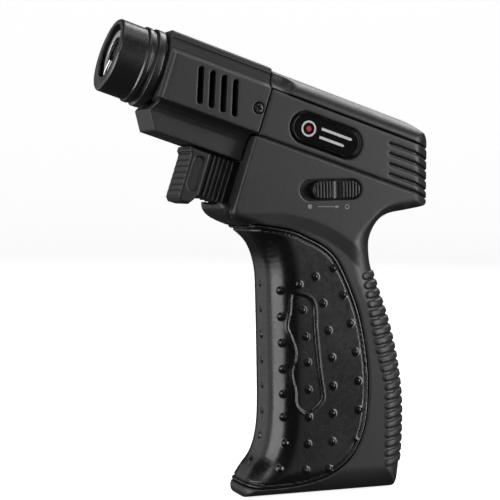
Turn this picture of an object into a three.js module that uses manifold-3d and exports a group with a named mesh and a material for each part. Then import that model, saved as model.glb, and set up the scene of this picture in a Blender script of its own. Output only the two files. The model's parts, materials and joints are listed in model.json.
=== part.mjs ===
// Pistol-shaped butane torch. Millimetres, +Z up, muzzle towards -X, width along Y.
import * as THREE from 'three';
import { mergeVertices } from 'three/addons/utils/BufferGeometryUtils.js';
import Module from 'manifold-3d';

const wasm = await Module();
wasm.setup();

// ---- driving dimensions -------------------------------------------------------------
const CENTRE_SHIFT = -5.5;     // puts the middle of the whole length on X = 0
const TILT = 17.4 * Math.PI / 180;   // how far the barrel points upwards
const MUZZLE_X = -46.6;        // centre of the muzzle rim before the shift
const MUZZLE_Z = 137.4;
const HALF_WIDTH = 12.9;       // frame, nose and grip
const GAP = 0.3;               // clearance between neighbouring pieces
const EDGE = 2.6;              // rounding along the grip and the tang
const GUARD_R = 11.5;
const BORE_R = 8.9;
const BURNER_R = 7.2;
const BURNER_V = 1.3;          // the flame ring and the muzzle's lip sit above the bore axis
const NOSE_BORE_R = 10.2;
const NOSE_FRONT = 15.1;       // distances along the barrel from the muzzle rim
const NOSE_REAR = 49.0;
const FRAME_FRONT = 49.3;
const COVER_BASE = 5.8;        // where the top cover sits on the shells, above the bore axis
const COVER_TOP = 12.7;
const COVER_REAR = 97.5;
const SPLIT_V = -9.6;          // line between upper and lower frame, below the bore axis
const PIEZO_V = -24.0;
const PIEZO_FRONT = 68.2;
const HOSE_R = 1.5;
const WIRE_R = 0.75;
const BASE_VALVE_X = 14;
const ADJUSTER_X = 27;
const CAP_X = 12;
const CAP_Y = 6;

const AXIS = new THREE.Vector3(Math.cos(TILT), 0, -Math.sin(TILT));   // rearwards
const UPWARD = new THREE.Vector3(Math.sin(TILT), 0, Math.cos(TILT));
const SIDEWAYS = new THREE.Vector3(0, 1, 0);

// A point u along the barrel from the muzzle and v above the bore axis, as [x, z].
function at(u, v) {
  const x = MUZZLE_X + u * AXIS.x + v * UPWARD.x;
  const z = MUZZLE_Z + u * AXIS.z + v * UPWARD.z;
  return [x, z];
}

function at3(u, y, v) {
  const [x, z] = at(u, v);
  return new THREE.Vector3(x, y, z);
}

// ---- solids -------------------------------------------------------------------------
function solid(geometry) {
  const plain = geometry.index ? geometry.toNonIndexed() : geometry;
  plain.deleteAttribute('normal');
  plain.deleteAttribute('uv');
  const merged = mergeVertices(plain, 1e-4);
  const mesh = new wasm.Mesh({
    numProp: 3,
    vertProperties: new Float32Array(merged.attributes.position.array),
    triVerts: new Uint32Array(merged.index.array),
  });
  return new wasm.Manifold(mesh);
}

function union(list) {
  return list.reduce((sum, item) => sum.add(item));
}

function flatShape(points) {
  return new THREE.Shape(points.map(([a, b]) => new THREE.Vector2(a, b)));
}

function smoothPoints(points, count) {
  const curve = new THREE.SplineCurve(points.map(([a, b]) => new THREE.Vector2(a, b)));
  return curve.getPoints(count).map((p) => [p.x, p.y]);
}

// A side outline (x, z) with a thickness from y0 to y1.
function slab(points, y0, y1, edge = 0) {
  const geometry = new THREE.ExtrudeGeometry(flatShape(points), {
    depth: y1 - y0 - 2 * edge,
    bevelEnabled: edge > 0,
    bevelThickness: edge,
    bevelSize: edge,
    bevelOffset: -edge,
    bevelSegments: 2,
  });
  geometry.rotateX(Math.PI / 2);
  geometry.translate(0, y1 - edge, 0);
  return solid(geometry);
}

// A cross-section (y, v) pushed along the barrel from u0 to u1.
function alongBarrel(points, u0, u1) {
  const settings = { depth: u1 - u0, bevelEnabled: false };
  const geometry = new THREE.ExtrudeGeometry(flatShape(points), settings);
  const matrix = new THREE.Matrix4().makeBasis(SIDEWAYS, UPWARD, AXIS);
  matrix.setPosition(at3(u0, 0, 0));
  geometry.applyMatrix4(matrix);
  return solid(geometry);
}

// A block in barrel directions.
function barrelBox(u0, u1, y0, y1, v0, v1) {
  return alongBarrel([[y0, v0], [y1, v0], [y1, v1], [y0, v1]], u0, u1);
}

// A turned piece: profile of [radius, distance] about an axis that starts at origin.
function turned(profile, origin, direction, segments = 32) {
  const points = profile.map(([r, d]) => new THREE.Vector2(r, d));
  points.push(points[0].clone());
  const geometry = new THREE.LatheGeometry(points, segments);
  const turn = new THREE.Quaternion().setFromUnitVectors(new THREE.Vector3(0, 1, 0), direction);
  geometry.applyQuaternion(turn);
  geometry.translate(origin.x, origin.y, origin.z);
  let made = solid(geometry);
  if (made.volume() < 0) {
    geometry.index.array.reverse();
    made = solid(geometry);
  }
  return made;
}

function onBarrel(profile, segments = 28, v = 0, y = 0) {
  return turned(profile, at3(0, y, v), AXIS, segments);
}

function upright(profile, x, y, segments = 18) {
  return turned(profile, new THREE.Vector3(x, y, 0), new THREE.Vector3(0, 0, 1), segments);
}

// A plain cylinder along Y between y0 and y1.
function crossPin(x, z, radius, y0, y1, segments = 12) {
  const geometry = new THREE.CylinderGeometry(radius, radius, y1 - y0, segments);
  geometry.translate(x, (y0 + y1) / 2, z);
  return solid(geometry);
}

// A square-ended bar in a side view, centred on (x, z).
function bar(x, z, halfLength, halfHeight, y0, y1) {
  return slab([
    [x - halfLength, z - halfHeight], [x + halfLength, z - halfHeight],
    [x + halfLength, z + halfHeight], [x - halfLength, z + halfHeight],
  ], y0, y1);
}

// A bar with round ends in a side view, turned by an angle and pushed from y0 to y1.
function stadium(x, z, length, height, angle, y0, y1, segments = 10) {
  const r = height / 2;
  const half = length / 2 - r;
  const points = [];
  for (const [side, start] of [[1, -Math.PI / 2], [-1, Math.PI / 2]]) {
    for (let i = 0; i <= segments; i += 1) {
      const a = start + Math.PI * i / segments;
      const px = side * half + r * Math.cos(a);
      const pz = r * Math.sin(a);
      points.push([
        x + px * Math.cos(angle) - pz * Math.sin(angle),
        z + px * Math.sin(angle) + pz * Math.cos(angle),
      ]);
    }
  }
  return slab(points, y0, y1);
}

function cord(points, radius, steps, segments = 8) {
  const circle = new THREE.Shape();
  circle.absarc(0, 0, radius, 0, Math.PI * 2, false);
  const geometry = new THREE.ExtrudeGeometry(circle, {
    steps,
    curveSegments: segments / 2,
    bevelEnabled: false,
    extrudePath: new THREE.CatmullRomCurve3(points),
  });
  return solid(geometry);
}

class Coil extends THREE.Curve {
  constructor(origin, direction, radius, length, turns) {
    super();
    this.origin = origin;
    this.direction = direction;
    this.side = new THREE.Vector3(0, 1, 0);
    if (Math.abs(direction.y) > 0.5) {
      this.side.set(1, 0, 0);
    }
    this.other = new THREE.Vector3().crossVectors(direction, this.side);
    this.radius = radius;
    this.length = length;
    this.turns = turns;
  }

  getPoint(t) {
    const a = t * this.turns * 2 * Math.PI;
    return this.origin.clone()
      .addScaledVector(this.direction, t * this.length)
      .addScaledVector(this.side, this.radius * Math.cos(a))
      .addScaledVector(this.other, this.radius * Math.sin(a));
  }

  getLength() {
    return this.turns * 2 * Math.PI * this.radius;
  }
}

function spring(origin, direction, radius, wire, length, turns) {
  const circle = new THREE.Shape();
  circle.absarc(0, 0, wire, 0, Math.PI * 2, false);
  const geometry = new THREE.ExtrudeGeometry(circle, {
    steps: turns * 8,
    curveSegments: 3,
    bevelEnabled: false,
    extrudePath: new Coil(origin, direction, radius, length, turns),
  });
  return solid(geometry);
}

// ---- the list of pieces -------------------------------------------------------------
const group = new THREE.Group();
group.name = 'butane_torch';

function addPart(name, made, [color, roughness, metalness]) {
  const data = made.getMesh();
  const geometry = new THREE.BufferGeometry();
  const positions = new Float32Array(data.vertProperties);
  geometry.setAttribute('position', new THREE.BufferAttribute(positions, 3));
  geometry.setIndex(new THREE.BufferAttribute(new Uint32Array(data.triVerts), 1));
  geometry.translate(CENTRE_SHIFT, 0, 0);
  const material = new THREE.MeshStandardMaterial({ color, roughness, metalness, flatShading: true });
  const mesh = new THREE.Mesh(geometry, material);
  mesh.name = name;
  group.add(mesh);
}

const FRAME_PLASTIC = [0x3c3d40, 0.62, 0];
const NOSE_PLASTIC = [0x3f4043, 0.6, 0];
const RAIL_PLASTIC = [0x38393c, 0.5, 0];
const GRIP_PLASTIC = [0x1b1b1d, 0.34, 0];
const GUARD_PLASTIC = [0x242427, 0.4, 0];
const TRIGGER_PLASTIC = [0x2a2a2c, 0.45, 0];
const SWITCH_PLASTIC = [0x17171a, 0.4, 0];
const BADGE_GLOSS = [0x0c0c0e, 0.15, 0];
const INNER_PLASTIC = [0xd8d4c8, 0.5, 0];
const STEEL = [0xb9bcc0, 0.3, 1];
const DARK_STEEL = [0x4a4a4d, 0.4, 1];
const BRASS = [0xc3a257, 0.3, 1];
const CERAMIC = [0xeeeae0, 0.35, 0];
const RUBBER = [0x141414, 0.8, 0];
const HOSE_CLEAR = [0xd9d2b4, 0.35, 0];
const WIRE_RED = [0x8c1d1a, 0.5, 0];

// ---- outer outlines -----------------------------------------------------------------
const backCurve = smoothPoints([
  [39.6, 85.2], [38.8, 79], [39.6, 72.6], [42.3, 66], [45.6, 57], [48.3, 47.5],
  [50.3, 38], [51.4, 28], [51.4, 18], [50.6, 8], [49.6, 0],
], 14);
const frontCurve = smoothPoints([
  [-4.2, 4.2], [-1.4, 8.6], [2.2, 13.4], [4, 19.5], [4.6, 28], [4.3, 45],
  [3.8, 62], [3.2, 72], [0.6, 79.4], [-4.2, 84.6], [-8, 86.6],
], 15);
const bodyOutline = [
  at(FRAME_FRONT - 1, COVER_BASE - GAP), at(104, COVER_BASE - GAP), [61, 109.6], [61, 106],
  [61, 95.4], [59.6, 92], [50, 90.6], [44, 89.4], [41, 87.4],
  ...backCurve,
  [-3.2, 0],
  ...frontCurve,
  at(48.3, -34.9), at(48.3, -32.6),
];
const lobeOutline = [
  [-6, 86], [-9.2, 87.1], [-11.8, 88.6], [-13.4, 90.6], [-13.6, 92.6], at(48.3, -32.6), at(58, -33),
];
const tankSeam = smoothPoints([
  [-12, 80.5], [-7, 84], [-4.6, 85.6], [-1.4, 86], [6.2, 85], [14.3, 82.4], [21.4, 79], [26.4, 73],
  [30.4, 64.5], [33.6, 54.8], [35.6, 44.5], [36.3, 33], [35.3, 22.5], [32, 14.4], [25.6, 8.4],
  [14.3, 4.2], [6, 3.6], [-1, 3.7], [-9, 5.2],
], 24);

// ---- frame shells -------------------------------------------------------------------
// Plan view: straight sides, then one arc round the back that meets them at a slight corner.
const REAR_CENTRE_X = 47;
const REAR_R = 14;
const REAR_HALF_ANGLE = Math.asin(HALF_WIDTH / REAR_R);

function rearPlanOutline(halfWidth, radius) {
  const points = [[-80, -halfWidth]];
  for (let i = 0; i <= 12; i += 1) {
    const a = REAR_HALF_ANGLE * (i / 6 - 1);
    points.push([REAR_CENTRE_X + radius * Math.cos(a), radius * Math.sin(a)]);
  }
  points.push([-80, halfWidth]);
  return points;
}

function planPrism(points, z0, z1) {
  const geometry = new THREE.ExtrudeGeometry(flatShape(points), { depth: z1 - z0, bevelEnabled: false });
  geometry.translate(0, 0, z0);
  return solid(geometry);
}

const frontBlock = slab([
  at(48.3, -32), at(48.3, SPLIT_V), at(FRAME_FRONT, SPLIT_V), at(FRAME_FRONT, COVER_BASE - GAP),
  at(95, COVER_BASE - GAP), at(75, -20),
], -HALF_WIDTH, HALF_WIDTH);
const nosePocket = slab([
  at(40, 14), at(FRAME_FRONT, 14), at(FRAME_FRONT, SPLIT_V), at(40, SPLIT_V),
], -20, 20);
const body = slab(bodyOutline, -HALF_WIDTH, HALF_WIDTH, EDGE)
  .add(frontBlock)
  .add(slab(lobeOutline, -HALF_WIDTH + 1.2, HALF_WIDTH - 1.2))
  .subtract(nosePocket)
  .intersect(planPrism(rearPlanOutline(HALF_WIDTH, REAR_R), -5, 160));
const tankOuter = body.intersect(slab([...tankSeam, [-20, 5.2], [-20, 80.5]], -20, 20));
const tankRoom = slab([
  ...tankSeam.map(([x, z]) => [x + (x > 20 ? GAP : 0), z + (z > 40 ? GAP : -GAP)]),
  [-30, 5.2], [-30, 80.5],
], -20, 20);

const chamber = slab([
  at(40, 7.8), at(99, 7.8), [56, 107], [57, 98], [54.5, 95], [44, 92.6], [38.6, 90.4],
  [36.6, 85], [36.3, 78.6], [37.2, 72], [40, 65.3], [43.2, 56.5], [45.8, 47], [47.8, 38],
  [49, 29], [49, 19], [48.2, 8], [47.2, 3.2], [40, 3.2], [38, 13], [38.9, 24], [38.9, 34],
  [38, 46], [36, 55.6], [33, 65], [29, 74.6], [23, 81.2], [15, 85.2], [6.5, 87.8], at(60, -31.6),
  at(60, -17.4), at(51.4, -17.4), at(51.4, -7.6), at(40, -7.6),
], -10.9, 10.9);
const triggerRoom = barrelBox(44, 66, -5.9, 5.9, -33, -18.4);
const bottomBoreProfile = [[0, -1], [4.5, -1], [4.5, 16], [0, 16]];
const bottomBores = union([BASE_VALVE_X, ADJUSTER_X].map((x) => upright(bottomBoreProfile, x, 0)));
const capBore = upright([[0, 76], [3.7, 76], [3.7, 95], [0, 95]], CAP_X, CAP_Y);

const screwPlaces = [at(54.5, -13), at(98, 0), [43.8, 24], at(92.5, -13.2)];
const screwPosts = screwPlaces.map(([x, z]) => crossPin(x, z, 2.6, -11.2, 11.2));
const screwBores = screwPlaces.map(([x, z]) => crossPin(x, z, 1.5, -8.6, 14));
const screwSinks = screwPlaces.map(([x, z]) => crossPin(x, z, 2.6, 11.2, 14));

const pinPlace = at(63.5, -4.5);
const leverBosses = [-1, 1].map((side) => crossPin(
  pinPlace[0], pinPlace[1], 2.4, Math.min(side * 2.6, side * 11.2), Math.max(side * 2.6, side * 11.2),
));
const leverPinBore = crossPin(pinPlace[0], pinPlace[1], 1.3, -9.5, 9.5);

const nosePlace = at(46.8, -1.7);
const badgePlace = at(71, -2.4);
const tongues = [-1, 1].map((side) => barrelBox(
  41, 52, Math.min(side * 9.2, side * 11), Math.max(side * 9.2, side * 11), -6.9, 3.3,
).subtract(barrelBox(40, FRAME_FRONT, -20, -10.8, -20, 20))
  .subtract(barrelBox(40, FRAME_FRONT, 10.8, 20, -20, 20)));

const switchPlace = [21.2, 97];
const switchTilt = 0.03;
const switchSlot = stadium(switchPlace[0] + 0.9, switchPlace[1], 20.9, 6.2, switchTilt, -20, -9);

function badgeRecess(side) {
  const y0 = side < 0 ? -20 : HALF_WIDTH - 0.9;
  const y1 = side < 0 ? -HALF_WIDTH + 0.9 : 20;
  return stadium(badgePlace[0], badgePlace[1], 25.4, 10.1, -TILT, y0, y1, 14);
}

// Grip grooves across the rear corners of the upper frame.
const rearGrooves = union([2.2, -0.9, -4, -7.1].map((v) => barrelBox(92, 125, -20, 20, v - 0.5, v + 0.5)
  .subtract(planPrism(rearPlanOutline(HALF_WIDTH - 0.6, REAR_R - 0.8), 60, 150))
  .subtract(slab([[42.6, 60], [42.6, 160], [0, 160], [0, 60]], -20, 20))));
const splitGroove = barrelBox(FRAME_FRONT - 2, 115, -20, 20, SPLIT_V - 0.4, SPLIT_V + 0.4)
  .subtract(barrelBox(FRAME_FRONT - 3, 116, -12.3, 12.3, SPLIT_V - 1, SPLIT_V + 1));

let shellBody = body.subtract(tankRoom).subtract(chamber).add(union(screwPosts)).add(union(leverBosses));
shellBody = shellBody.add(union(tongues)).subtract(triggerRoom).subtract(bottomBores).subtract(capBore);
shellBody = shellBody.subtract(union(screwBores)).subtract(leverPinBore).subtract(splitGroove);
shellBody = shellBody.subtract(rearGrooves);
shellBody = shellBody.subtract(crossPin(nosePlace[0], nosePlace[1], 1.2, -20, 20));

const leftHalf = slab([[-90, -20], [90, -20], [90, 170], [-90, 170]], -30, -GAP / 2);
const rightHalf = slab([[-90, -20], [90, -20], [90, 170], [-90, 170]], GAP / 2, 30);
addPart(
  'frame_left_shell',
  shellBody.intersect(leftHalf).subtract(badgeRecess(-1)).subtract(switchSlot),
  FRAME_PLASTIC,
);
addPart(
  'frame_right_shell',
  shellBody.intersect(rightHalf).subtract(badgeRecess(1)).subtract(union(screwSinks)),
  FRAME_PLASTIC,
);

screwPlaces.forEach(([x, z], i) => {
  const shank = crossPin(x, z, 1.2, -8.2, 11.8, 12);
  const head = crossPin(x, z, 2.3, 11.5, 12.9, 16);
  const slot = bar(x, z, 3, 0.3, 12.3, 14);
  const cross = bar(x, z, 0.3, 3, 12.3, 14);
  addPart(`frame_screw_${i + 1}`, shank.add(head).subtract(slot).subtract(cross), DARK_STEEL);
});

// ---- top cover and badges -----------------------------------------------------------
// Half an ellipse across the frame, from one side wall over the top to the other.
function halfEllipse(halfWidth, base, top) {
  const points = [];
  for (let i = 0; i <= 12; i += 1) {
    const a = Math.PI * i / 12;
    points.push([halfWidth * Math.cos(a), base + (top - base) * Math.sin(a)]);
  }
  return points;
}

const coverSide = slab([
  at(FRAME_FRONT, 5), at(108, 5), [61, 110.5], [57.1, 114.4], at(COVER_REAR, COVER_TOP),
  at(FRAME_FRONT, 13),
], -20, 20);
const coverHollow = alongBarrel(halfEllipse(10.4, COVER_BASE - 1, COVER_TOP - 1.9), FRAME_FRONT + 2, 97);
addPart(
  'top_rail_cover',
  alongBarrel(halfEllipse(12.4, COVER_BASE, COVER_TOP), FRAME_FRONT, 108)
    .intersect(coverSide)
    .intersect(planPrism(rearPlanOutline(HALF_WIDTH, REAR_R), 80, 160))
    .subtract(coverHollow),
  RAIL_PLASTIC,
);

for (const [name, y0, y1] of [['badge_left', -13.1, -12.2], ['badge_right', 12.2, 13.1]]) {
  addPart(name, stadium(badgePlace[0], badgePlace[1], 24.8, 9.5, -TILT, y0, y1, 14), BADGE_GLOSS);
}

// ---- nose sleeve --------------------------------------------------------------------
// Half of the cross-section: lower keel, side panel, hollow flute, ridge and flat top.
const noseHalf = [
  [7.1, -18.3], [7.3, -11.6], [HALF_WIDTH, -8.9], [HALF_WIDTH, 5.6], [11, 6.3], [9.5, 7.7],
  [8.8, 9.4], [8.5, 11.3], [7.9, 12.1], [6.2, COVER_TOP],
];
const noseSection = [...noseHalf, ...noseHalf.map(([y, v]) => [-y, v]).reverse()];
const noseSide = slab([
  at(NOSE_FRONT, 13), at(NOSE_REAR, 13), at(NOSE_REAR, -9.3), at(48, -9.3), at(48, -18.3),
  at(18.6, -18.3), at(15, -12.6), at(16.6, -8.9), at(NOSE_FRONT, -8.6),
], -20, 20);
const noseBore = onBarrel([[0, 17.6], [NOSE_BORE_R, 17.6], [NOSE_BORE_R, 55], [0, 55]], 28);
const guardBore = onBarrel([[0, 10], [9.9, 10], [9.9, 20], [0, 20]], 28);
const tongueRoom = barrelBox(40.5, 55, -11.1, 11.1, -7.5, 3.9);
const lowerRoom = barrelBox(20.5, 60, -5.4, 5.4, -16.6, -7);
let nose = alongBarrel(noseSection, 12, 52).intersect(noseSide);
nose = nose.subtract(noseBore).subtract(guardBore).subtract(tongueRoom).subtract(lowerRoom);
const ventLean = Math.PI / 2 - 0.045;
for (let i = 0; i < 4; i += 1) {
  const [x, z] = at(26.9 + 3.9 * i, -1.3);
  nose = nose.subtract(stadium(x, z, 11.2, 1.75, ventLean, -20, -6, 4));
  nose = nose.subtract(stadium(x, z, 11.2, 1.75, ventLean, 6, 20, 4));
}
nose = nose.subtract(crossPin(nosePlace[0], nosePlace[1], 1.9, -20, -11.7));
nose = nose.subtract(crossPin(nosePlace[0], nosePlace[1], 1.9, 11.7, 20));
nose = nose.subtract(crossPin(nosePlace[0], nosePlace[1], 1.2, -20, 20));
addPart('nose_housing', nose, NOSE_PLASTIC);

for (const [name, side] of [['nose_screw_left', -1], ['nose_screw_right', 1]]) {
  const [x, z] = nosePlace;
  const span = (a, b) => [Math.min(side * a, side * b), Math.max(side * a, side * b)];
  const shank = crossPin(x, z, 0.9, ...span(8.4, 12.2), 12);
  const head = crossPin(x, z, 1.6, ...span(11.95, 12.9), 16);
  const slot = bar(x, z, 2, 0.25, ...span(12.4, 14));
  const cross = bar(x, z, 0.25, 2, ...span(12.4, 14));
  addPart(name, shank.add(head).subtract(slot).subtract(cross), DARK_STEEL);
}

// ---- muzzle and burner --------------------------------------------------------------
addPart('muzzle_guard', onBarrel([
  [6, 0], [11.1, 0], [GUARD_R, 0.5], [GUARD_R - 0.1, 8.4], [12, 8.9], [12, 10], [11.5, 10.3],
  [11.5, 11.5], [12.3, 11.8], [12.3, 13.8], [11.6, 14.1], [11.6, 14.8], [9.6, 14.8], [9.6, 20],
  [BORE_R, 20], [BORE_R, 0.7], [6, 0.7],
], 36).subtract(onBarrel([[0, -1], [8.4, -1], [8.4, 1.2], [0, 1.2]], 36, BURNER_V)), GUARD_PLASTIC);

const electrodeV = -7.3;
const flameRing = onBarrel([
  [4.8, 1.3], [BURNER_R - 0.3, 1.3], [BURNER_R, 1.6], [BURNER_R, 2.2], [4.8, 2.2],
], 32, BURNER_V);
addPart('burner_tube', onBarrel([
  [5.1, 2], [5.9, 2], [5.9, 20], [4.6, 23], [4.6, 25], [3.4, 25], [3.4, 22.8], [5.1, 20],
], 28).add(flameRing), STEEL);

let screen = onBarrel([[0, 2.5], [4.8, 2.5], [4.8, 3.3], [0, 3.3]], 24);
for (const [count, radius] of [[1, 0], [6, 3]]) {
  for (let i = 0; i < count; i += 1) {
    const a = 2 * Math.PI * i / count;
    const hole = turned(
      [[0, 2], [0.7, 2], [0.7, 5], [0, 5]],
      at3(0, radius * Math.cos(a), radius * Math.sin(a)),
      AXIS,
      6,
    );
    screen = screen.subtract(hole);
  }
}
addPart('flame_screen', screen, DARK_STEEL);

addPart('burner_collar', onBarrel([[4.9, 22.5], [9.9, 22.5], [9.9, 24.5], [4.9, 24.5]], 32)
  .subtract(onBarrel([[0, 20], [1.7, 20], [1.7, 27], [0, 27]], 16, electrodeV)), DARK_STEEL);

// A thin sleeve behind the vents; air reaches the mixing tube through its long top and
// bottom windows.
addPart('air_baffle', onBarrel([[9.2, 25.2], [9.8, 25.2], [9.8, 39.9], [9.2, 39.9]], 32)
  .subtract(barrelBox(27, 38, -4, 4, -12, 12)), DARK_STEEL);

let mixer = onBarrel([[2.3, 23.2], [3.1, 23.2], [3.1, 40.6], [2.3, 40.6]], 24);
mixer = mixer.subtract(barrelBox(31, 34, -0.9, 0.9, -6, 6)).subtract(barrelBox(31, 34, -6, 6, -0.9, 0.9));
addPart('mixing_tube', mixer, BRASS);

addPart('jet_nozzle', onBarrel([
  [0.4, 40.9], [1.6, 40.9], [2.9, 42.5], [2.9, 46], [0.4, 46],
], 12), BRASS);
addPart('jet_washer', onBarrel([[0.5, 46.2], [3.2, 46.2], [3.2, 46.8], [0.5, 46.8]], 20), RUBBER);

// ---- ignition -----------------------------------------------------------------------
addPart('electrode_insulator', onBarrel([
  [0.7, 3.4], [1.15, 3.4], [1.15, 26], [1.4, 26.2], [1.4, 29], [0.7, 29],
], 16, electrodeV), CERAMIC);
addPart('spark_electrode', cord([
  at3(28.5, 0, electrodeV), at3(10, 0, electrodeV), at3(3, 0, electrodeV),
  at3(1.7, 0, -7.05), at3(0.85, -0.15, -6.1), at3(0.6, -1.1, -4.6), at3(0.6, -2.9, -2),
], 0.4, 22, 6), STEEL);
addPart('ignition_wire', cord([
  at3(29.6, 0, electrodeV), at3(34, -2.4, -6.9), at3(40, -6.2, -4.6), at3(50, -8.2, -4.6),
  at3(58, -8.2, -8), at3(67, -7.6, -10.6), at3(76, -7, -12.2), at3(84, -6.6, -14.6),
  at3(89.4, -4.6, -19), at3(92.2, -1.4, PIEZO_V + 1), at3(92.4, 0, PIEZO_V),
], WIRE_R, 30, 6), WIRE_RED);

const piezoBore = onBarrel([[0, 60], [3.05, 60], [3.05, 78], [0, 78]], 24, PIEZO_V);
addPart('piezo_igniter', onBarrel([
  [0, PIEZO_FRONT], [4, PIEZO_FRONT], [4, 88], [2.2, 89], [2.2, 91], [0, 91],
], 28, PIEZO_V).subtract(piezoBore), INNER_PLASTIC);
addPart('piezo_plunger', onBarrel([
  [0, 60.6], [2, 60.6], [2, 68.8], [2.75, 69.1], [2.75, 73], [0, 73],
], 24, PIEZO_V), DARK_STEEL);
addPart('trigger_spring', spring(at3(60.9, 0, PIEZO_V), AXIS, 2.7, 0.35, PIEZO_FRONT - 61.6, 6), STEEL);

// ---- trigger ------------------------------------------------------------------------
const triggerPad = slab([
  at(32.9, -19), at(38.8, -19), at(38.8, -32.2), at(36.2, -35.9), at(33.4, -35.9), at(32.3, -34.6),
  at(32.3, -20),
], -6.45, 6.45, 0.9);
const triggerBlock = barrelBox(37, 60.2, -5.2, 5.2, -32.1, -19.2);
let trigger = triggerPad.add(triggerBlock);
for (let i = 0; i < 5; i += 1) {
  const u = 40.1 + 1.6 * i;
  trigger = trigger.add(barrelBox(u, u + 0.7, -5.55, 5.55, -32.4, -19.2));
  trigger = trigger.subtract(barrelBox(31, 32.8, -5.2, 5.2, -33.2 + 2.9 * i, -32.4 + 2.9 * i));
}
const [ovalX, ovalZ] = at(36, -26.6);
trigger = trigger.subtract(stadium(ovalX, ovalZ, 12, 3.6, Math.PI / 2 - TILT, -20, -5.7, 8));
trigger = trigger.subtract(stadium(ovalX, ovalZ, 12, 3.6, Math.PI / 2 - TILT, 5.7, 20, 8));
trigger = trigger.subtract(barrelBox(49, 57, -3.9, 3.9, -40, -20.7));
addPart('trigger', trigger, TRIGGER_PLASTIC);

// ---- gas valve ----------------------------------------------------------------------
const valveBore = onBarrel([[0, 52.4], [1.6, 52.4], [1.6, 65], [0, 65]], 20);
const gasPort = onBarrel([[0, 46], [0.6, 46], [0.6, 54], [0, 54]], 12);
const portPlace = at(56.4, 0);
addPart('gas_valve_body', onBarrel([
  [0, 47.1], [3.6, 47.1], [4.5, 48], [4.5, 59.8], [3.8, 60.4], [0, 60.4],
], 20).add(crossPin(portPlace[0], portPlace[1], 1.2, 3, 6.4, 12))
  .subtract(valveBore).subtract(gasPort), BRASS);
addPart('gas_valve_stem', onBarrel([[0, 54.4], [1.25, 54.4], [1.25, 61.6], [0, 61.6]], 16), STEEL);

const leverOutline = [
  at(62, 0.5), at(64.4, 0.5), at(66, -4.5), at(65, -7), at(63.4, -20.5), at(60.6, -20.5),
  at(60.6, -19), at(61, -8),
];
addPart('valve_lever', slab(leverOutline, -1.6, 1.6).subtract(
  crossPin(pinPlace[0], pinPlace[1], 1.25, -5, 5),
), INNER_PLASTIC);
addPart('lever_pin', crossPin(pinPlace[0], pinPlace[1], 1.0, -9.2, 9.2, 16), STEEL);

const hoseEnd = new THREE.Vector3(portPlace[0], 8.2, portPlace[1]);
addPart('gas_hose', cord([
  hoseEnd, new THREE.Vector3(6.6, 9.2, 117.6), new THREE.Vector3(6.9, 9.2, 113),
  new THREE.Vector3(8.2, 9.1, 106), new THREE.Vector3(10.8, 8, 99), new THREE.Vector3(CAP_X, CAP_Y, 94),
  new THREE.Vector3(CAP_X, CAP_Y, 92),
], HOSE_R, 20, 8), HOSE_CLEAR);

// ---- lock switch --------------------------------------------------------------------
const [switchX, switchZ] = switchPlace;
const padX = switchX + 2.5;
let slider = stadium(padX, switchZ, 16.4, 5.6, switchTilt, -13.7, -9.9, 10);
slider = slider.add(stadium(padX - 0.6, switchZ, 21.4, 8.6, switchTilt, -10.6, -9.4, 10));
slider = slider.add(bar(switchX - 2, switchZ, 2.4, 2.2, -9.6, -6.6));
for (let i = 0; i < 5; i += 1) {
  for (const side of [-1, 1]) {
    const x = padX + side * (1.8 + 1.05 * i);
    slider = slider.subtract(bar(x, switchZ, 0.25, 5, -20, -13.3));
  }
}
addPart('lock_slider', slider, SWITCH_PLASTIC);
addPart('lock_detent_spring', slab([
  [switchX + 3, switchZ + 5.2], [switchX + 13, switchZ + 5.4], [switchX + 13, switchZ + 5.9],
  [switchX + 3, switchZ + 5.7],
], -10.5, -7.6), STEEL);

// ---- tank ---------------------------------------------------------------------------
const tankHollow = slab([
  [1.4, 79.6], [6.6, 82.4], [13.4, 79.6], [19.4, 76.4], [24, 70.6], [27.9, 62.6], [31, 53.6],
  [33, 44], [33.6, 33], [32.8, 23.4], [29.6, 16.4], [24, 10.9], [15, 7.6], [5, 7.2], [2.8, 8.4],
  [5, 13.2], [6.8, 20], [7.2, 30], [6.8, 47], [6.2, 64], [5.4, 73.6], [3, 77.6],
], -10.4, 10.4);
addPart('fuel_tank', tankOuter.subtract(tankHollow).subtract(bottomBores).subtract(capBore), GRIP_PLASTIC);
addPart('tank_cap', upright([
  [0, 77], [2.6, 77], [3.4, 78], [3.4, 87.4], [1.9, 88.2], [1.2, 88.6], [1.2, 91.6], [0, 91.6],
], CAP_X, CAP_Y, 16), BRASS);
addPart('riser_tube', cord([
  new THREE.Vector3(ADJUSTER_X, 0, 19.4), new THREE.Vector3(ADJUSTER_X - 1, 0.6, 30),
  new THREE.Vector3(20, 4, 52), new THREE.Vector3(CAP_X + 0.4, CAP_Y, 70),
  new THREE.Vector3(CAP_X, CAP_Y, 76.6),
], 1.2, 14, 8), HOSE_CLEAR);

// ---- base valves --------------------------------------------------------------------
addPart('refill_valve_body', upright([
  [1.7, 0.4], [4.1, 0.4], [4.1, 12.8], [3.2, 14], [0.6, 14], [0.6, 12], [2.6, 12], [2.6, 2.2], [1.7, 2.2],
], BASE_VALVE_X, 0), BRASS);
addPart('refill_valve_stem', upright([
  [0, 0.8], [1.3, 0.8], [1.3, 4.6], [2.3, 4.6], [2.3, 5.4], [0.9, 5.4], [0.9, 8.6], [0, 8.6],
], BASE_VALVE_X, 0, 16), STEEL);
addPart('refill_oring', upright([
  [1.5, 2.9], [1.65, 2.55], [2, 2.4], [2.35, 2.55], [2.5, 2.9], [2.35, 3.25], [2, 3.4], [1.65, 3.25],
], BASE_VALVE_X, 0, 14), RUBBER);
addPart('refill_spring', spring(
  new THREE.Vector3(BASE_VALVE_X, 0, 5.9), new THREE.Vector3(0, 0, 1), 1.75, 0.3, 5.6, 5,
), STEEL);
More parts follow.
